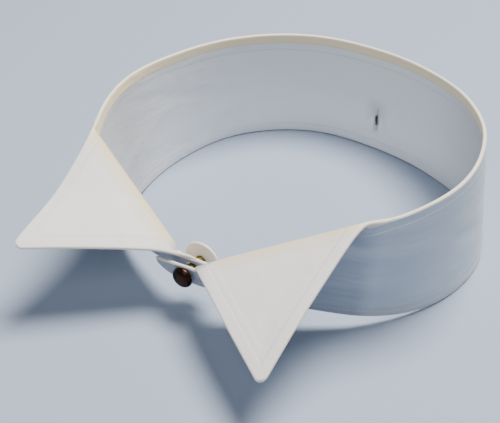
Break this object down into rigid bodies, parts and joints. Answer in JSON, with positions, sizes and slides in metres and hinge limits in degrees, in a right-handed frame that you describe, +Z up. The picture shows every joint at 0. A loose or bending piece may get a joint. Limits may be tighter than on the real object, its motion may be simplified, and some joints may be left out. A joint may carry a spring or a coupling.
{
  "type": "detachable shirt collar",
  "caption": "Stiff starched linen wing collar worn apart from the shirt, closed into a ring at the front by a collar stud and standing on its lower edge",
  "frame": {"origin": "On the surface that the collar stands on, under the middle of its bounding box in plan", "axes": "+Z is up. -Y is the front, where the stud is, and +Y is the centre back. +X is the side whose end laps outside the other."},
  "size_m": [0.1304, 0.1556, 0.0483],
  "materials": {
    "starched_linen": "smooth starched linen, aged ivory towards the edges",
    "bone": "smooth cream bone",
    "brass": "worn brass",
    "darkened_copper": "dark worn copper dome"
  },
  "bodies": {
    "root": {"collar_cloth": "starched_linen", "stud_plate": "bone", "stud_post": "brass", "stud_head": "darkened_copper"}
  },
  "joints": []
}
